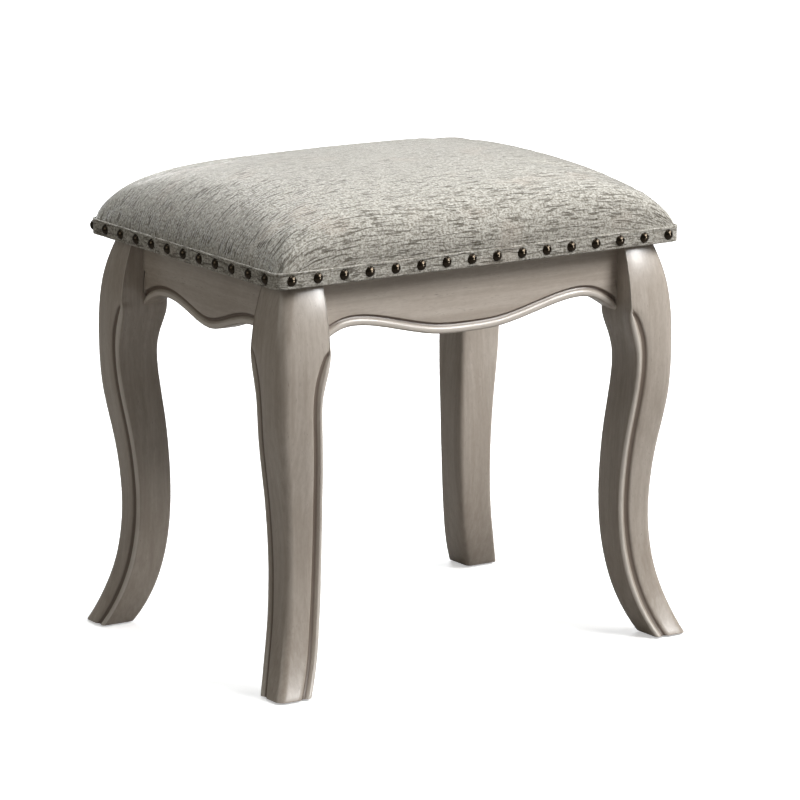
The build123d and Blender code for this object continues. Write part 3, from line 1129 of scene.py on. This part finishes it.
@dataclass
class Band:
    """The nailed strip of the same cloth round the seat's edge, folded over along its top."""

    material: Finish
    corner: float = 12 * MM
    pitch: float = 3.2 * MM
    fold: float = 1.5 * MM
    waver: float = 0.35 * MM

    def ripple(self, place: Vector, scale: float, seed: float) -> float:
        """Soft noise along the band, from about -1 to 1."""
        return noise.noise(Vector((place.x * scale, place.y * scale, seed)))

    def route(self, half_x: float, half_y: float) -> list[tuple[Vector, Vector]]:
        """Walks round a rectangle with rounded corners.

        Args:
            half_x: half of its length.
            half_y: half of its width.

        Returns:
            Places in order, each with its outward direction.
        """
        straight_x, straight_y = half_x - self.corner, half_y - self.corner
        places = []
        quarters = ((1, -1, -90), (1, 1, 0), (-1, 1, 90), (-1, -1, 180))
        for index, (sign_x, sign_y, turn) in enumerate(quarters):
            centre = Vector((sign_x * straight_x, sign_y * straight_y))
            for angle in map(math.radians, spread(turn, turn + 90, 9)):
                out = Vector((math.cos(angle), math.sin(angle)))
                places.append((centre + out * self.corner, out))
            next_x, next_y, _ = quarters[(index + 1) % 4]
            end = Vector((next_x * straight_x, next_y * straight_y)) + out * self.corner
            begin = places[-1][0]
            count = max(2, round((end - begin).length / self.pitch))
            places += [(begin.lerp(end, step / count), out) for step in range(1, count)]
        return places

    def build(self) -> Piece:
        """Builds the band as a strip that runs all the way round."""
        low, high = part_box("seat_band")
        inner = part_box("seat_cover")[1].x - 0.3 * MM
        thick = high.x - inner
        skin = Skin()
        for place, out in self.route(high.x, high.y):
            top = high.z + (self.ripple(place, 55, 3.1) + self.ripple(place, 160, 9.4)) * self.waver
            foot = low.z + 0.25 * MM + self.ripple(place, 90, 5.7) * 0.5 * self.waver
            swell = self.ripple(place, 120, 1.3) * 0.25 * MM
            rows = (
                (0.0, foot + 0.5 * MM), (0.4 * thick, foot), (thick * 0.85, foot + 0.25 * MM),
                (thick, foot + 1.3 * MM), (thick + swell * 0.4, mix(foot, top, 0.28)),
                (thick + swell, mix(foot, top, 0.50)), (thick + swell * 0.4, mix(foot, top, 0.72)),
                (thick + 0.05 * MM, top - self.fold * 1.5), (thick + 0.45 * MM, top - self.fold * 0.9),
                (thick + 0.40 * MM, top - self.fold * 0.35), (thick - 0.1 * MM, top),
                (thick * 0.35, top + 0.1 * MM), (0.0, top - 0.3 * MM),
            )
            skin.add([Station((*(place - out * (thick - reach)), height)) for reach, height in rows])
        skin.join_ends()
        band = object_from(skin.bm, "seat_band_cloth", 60)
        self.lay_cloth(band, high)
        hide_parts("seat_band")
        return dress(band, self.material)

    def lay_cloth(self, band: Piece, high: Vector) -> None:
        """Writes the band's UV map: metres along each side, and height with the thickness added.

        Args:
            band: the band.
            high: the upper corner of the band's box.
        """
        mesh = band.data
        layer = mesh.uv_layers.new(name="cloth")
        for face in mesh.polygons:
            sideways = abs(face.center.x) / high.x > abs(face.center.y) / high.y
            for index in face.loop_indices:
                co = mesh.vertices[mesh.loops[index].vertex_index].co
                depth = (abs(co.x) - high.x) if sideways else (abs(co.y) - high.y)
                layer.data[index].uv = ((co.y if sideways else co.x), co.z + depth * abs(face.normal.z))


@dataclass
class DustCover:
    """The black cloth that is stapled under the seat and sags a little between the aprons."""

    material: Finish
    sag: float = 2.6 * MM
    ripple: float = 0.5 * MM
    thickness: float = 0.4 * MM
    across: int = 96
    along: int = 72

    def drop(self, x: float, y: float, clear_x: float, clear_y: float) -> float:
        """How far the cloth hangs below the aprons' tops.

        Args:
            x: place along the seat.
            y: place across the seat.
            clear_x: half of the opening between the short aprons.
            clear_y: half of the opening between the long aprons.

        Returns:
            The drop, which is nothing over the aprons.
        """
        inside_x, inside_y = max(0.0, 1 - abs(x) / clear_x), max(0.0, 1 - abs(y) / clear_y)
        open_share = ease(inside_x, 0, 0.35) * ease(inside_y, 0, 0.35)
        broad, fine = Vector((x * 14, y * 22, 0.7)), Vector((x * 40, y * 31, 4.2))
        folds = noise.noise(broad) + 0.5 * noise.noise(fine)
        return open_share * (self.sag + self.ripple * folds)

    def build(self) -> Piece:
        """Builds the cloth from a grid the size of the frame's dust cover, then thickens it."""
        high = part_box("dust_cover")[1]
        clear_x, clear_y = -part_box("apron_left")[1].x, -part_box("apron_front")[1].y
        bm = bmesh.new()
        bmesh.ops.create_grid(bm, x_segments=self.across, y_segments=self.along, size=1.0)
        for vertex in bm.verts:
            x, y = vertex.co.x * high.x, vertex.co.y * high.y
            vertex.co = (x, y, high.z - 0.05 * MM - self.drop(x, y, clear_x, clear_y))
        bmesh.ops.solidify(bm, geom=bm.faces[:], thickness=self.thickness)
        cloth = object_from(bm, "dust_cover_cloth", 60)
        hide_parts("dust_cover")
        return dress(cloth, self.material)


# ---------------------------------------------------------------- studio

def toward(azimuth: float, elevation: float) -> Vector:
    """The direction from the stool to a place round it.

    Args:
        azimuth: the direction round the stool, 0 in front and 90 on the right, in degrees.
        elevation: the direction above the floor, in degrees.

    Returns:
        A vector of length 1.
    """
    turn, lift = math.radians(azimuth), math.radians(elevation)
    level = math.cos(lift)
    return Vector((math.sin(turn) * level, -math.cos(turn) * level, math.sin(lift)))


def hang(name: str, data: bpy.types.ID, place: Vector, away: Vector) -> Piece:
    """Places a camera or a light.

    Args:
        name: the object's name.
        data: the camera or the light itself.
        place: where it hangs.
        away: the direction at its back.

    Returns:
        The new object.
    """
    made = bpy.data.objects.new(name, data)
    made.location = place
    made.rotation_mode = "QUATERNION"
    made.rotation_quaternion = (-away).to_track_quat("-Z", "Y")
    bpy.context.scene.collection.objects.link(made)
    return made


@dataclass
class Studio:
    """The floor, the light and the camera."""

    azimuth: float = -32.99
    elevation: float = 12.52
    distance: float = 4.961
    lens: float = 220.8
    sensor: float = 36
    aim_height: float = 0.2329
    aim_right: float = 0.0162
    aim_up: float = 0.0044
    light_aim: Point = (0, 0, 0.3)
    fill: float = 0.14
    fill_colour: tuple = (1.0, 0.960, 0.875, 1)
    daylight: Point = (1.0, 0.995, 0.985)

    def camera(self) -> None:
        """Places the camera."""
        turn, back = math.radians(self.azimuth), toward(self.azimuth, self.elevation)
        right = Vector((math.cos(turn), math.sin(turn), 0))
        aim = Vector((0, 0, self.aim_height)) + right * self.aim_right
        aim += back.cross(right) * self.aim_up
        data = bpy.data.cameras.new("camera")
        data.lens, data.sensor_width = self.lens, self.sensor
        data.clip_start, data.clip_end = 0.1, 100
        bpy.context.scene.camera = hang("camera", data, aim + back * self.distance, back)

    def softbox(self, name: str, azimuth: float, elevation: float, distance: float,
                size: float, power: float, colour: Point, gleam_only: bool = False) -> None:
        """Hangs a square soft light that faces the seat.

        Args:
            name: the light's name.
            azimuth: its direction round the stool, 0 in front and 90 on the right, in degrees.
            elevation: its direction above the floor, in degrees.
            distance: its distance from the stool.
            size: the length of its side.
            power: its power in watts.
            colour: its colour.
            gleam_only: whether it shows only in glossy surfaces.
        """
        away = toward(azimuth, elevation)
        data = bpy.data.lights.new(name, "AREA")
        data.shape, data.size, data.energy, data.color = "SQUARE", size, power, colour
        light = hang(name, data, Vector(self.light_aim) + away * distance, away)
        light.visible_diffuse = not gleam_only

    def floor(self) -> None:
        """Lays a plain pale floor that is bright to the eye and gives back little light."""
        bm = bmesh.new()
        bmesh.ops.create_grid(bm, x_segments=1, y_segments=1, size=40)
        floor = object_from(bm, "floor")
        shader = Shader("floor_paint")
        shader.set(base_color=(0.90, 0.90, 0.90), roughness=0.9, specular_ior_level=0.1)
        dim = shader.node("ShaderNodeBsdfDiffuse", None, {"Color": (0.22, 0.21, 0.20, 1.0)})
        path = shader.node("ShaderNodeLightPath")
        length = {"operation": "LENGTH"}
        reach = shader.number("ShaderNodeVectorMath", length, {0: shader.place()}, "Value")
        strength = reach.step(0.5, 3.0) * 0.55 + 0.45
        glow = shader.node("ShaderNodeEmission", None, {"Color": (1, 1, 1, 1), "Strength": strength})
        lit = shader.node("ShaderNodeAddShader")
        shader.join(shader.surface.outputs["BSDF"], lit.inputs[0])
        shader.join(glow.outputs[0], lit.inputs[1])
        choice = shader.node("ShaderNodeMixShader", None, {"Fac": path.outputs["Is Camera Ray"]})
        shader.join(dim.outputs[0], choice.inputs[1])
        shader.join(lit.outputs[0], choice.inputs[2])
        output = next(item for item in shader.tree.nodes if item.type == "OUTPUT_MATERIAL")
        shader.join(choice.outputs[0], output.inputs["Surface"])
        floor.data.materials.append(shader.material)

    def surroundings(self) -> None:
        """Sets a dim even light from all round and a white background."""
        world = bpy.data.worlds.new("studio")
        bpy.context.scene.world = world
        world.use_nodes = True
        tree = world.node_tree
        tree.nodes.clear()
        path = tree.nodes.new("ShaderNodeLightPath")
        choice = tree.nodes.new("ShaderNodeMixShader")
        output = tree.nodes.new("ShaderNodeOutputWorld")
        tree.links.new(path.outputs["Is Camera Ray"], choice.inputs["Fac"])
        for index, colour, strength in ((1, self.fill_colour, self.fill), (2, (1, 1, 1, 1), 1.0)):
            light = tree.nodes.new("ShaderNodeBackground")
            light.inputs["Color"].default_value = colour
            light.inputs["Strength"].default_value = strength
            tree.links.new(light.outputs[0], choice.inputs[index])
        tree.links.new(choice.outputs[0], output.inputs["Surface"])

    def build(self) -> None:
        """Builds the whole studio."""
        self.camera()
        self.floor()
        self.surroundings()
        self.softbox("key", 33, 36, 3.2, 1.3, 84, self.daylight)
        self.softbox("right", 75, 35, 3.2, 1.2, 44, self.daylight)
        self.softbox("left", -95, 22, 3.4, 1.6, 10, (1.0, 0.955, 0.865))
        self.softbox("overhead", 0, 88, 2.4, 0.9, 30, (0.94, 0.975, 1.0))
        self.softbox("behind", 160, 40, 3.2, 1.3, 58, (0.95, 0.98, 1.0))
        self.softbox("gleam", 37, 22, 3.0, 0.5, 26, (1.0, 1.0, 1.0), gleam_only=True)
        view = bpy.context.scene.view_settings
        view.view_transform, view.look = "Standard", "None"
        log.info("studio built")


# ---------------------------------------------------------------- the stool

@dataclass
class Stool:
    """The whole stool: its finishes, and its pieces in building order."""

    def finishes(self) -> dict[str, Finish]:
        """Makes every finish once."""
        # Painted light: the aprons get a paler wash than the legs, most on the front and rear, to
        # offset the shade that the seat's overhang casts on them.
        painted_light_lift = {Grain.ALONG_X: 1.14, Grain.ALONG_Y: 1.06, Grain.ALONG_Z: 1.0}
        made = {f"wood_{grain.value}": WashedWood(grain, painted_light_lift=pale).make()
                for grain, pale in painted_light_lift.items()}
        made["cloth"] = Chenille().make()
        bronze = (0.052, 0.042, 0.031), (0.15, 0.115, 0.075)
        made["bronze"] = Metal("aged_bronze", *bronze, roughness=0.20).make()
        zinc = (0.52, 0.52, 0.50), (0.70, 0.69, 0.64)
        made["zinc"] = Metal("zinc_plate", *zinc, roughness=0.34, mottle=0.5).make()
        made["block"] = BareWood("plain_wood", (0.58, 0.42, 0.26), (0.40, 0.27, 0.15)).make()
        veneer = (0.60, 0.45, 0.28), (0.44, 0.31, 0.18)
        made["board"] = BareWood("plywood", *veneer, plies=True).make()
        made["dust"] = DustCloth().make()
        made["glide"] = Plastic().make()
        return made

    def build(self) -> None:
        """Builds every piece."""
        finish = self.finishes()
        for corner in Corner:
            CabrioleLeg(corner, finish["wood_z"]).build()
        for side in Side:
            Apron(side, finish["wood_x" if side.along_x else "wood_y"]).build()
        Cushion(finish["cloth"]).build()
        Band(finish["cloth"]).build()
        for side in Side:
            node = f"nailheads_{side.label}"
            dress(smooth_copy(node, f"{node}_bronze"), finish["bronze"])
        DustCover(finish["dust"]).build()
        hardware = {node: finish["zinc"] for node in (
            "leg_bolts", "leg_bolt_washers", "leg_bolt_nuts", "block_screws", "seat_screws",
            "dust_cover_staples")}
        hardware |= {f"corner_block_{corner.label}": finish["block"] for corner in Corner}
        hardware |= {f"foot_glide_{corner.label}": finish["glide"] for corner in Corner}
        hardware |= {"apron_dowels": finish["block"], "seat_board": finish["board"]}
        for node, material in hardware.items():
            paint(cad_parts[node], material)
            log.info("%s: finished as %s", node, material.name)


def main() -> None:
    """Builds the studio and the stool, and logs each new piece's face count."""
    logging.basicConfig(level=logging.INFO, format="%(message)s")
    Studio().build()
    Stool().build()


if __name__ == "__main__":
    main()
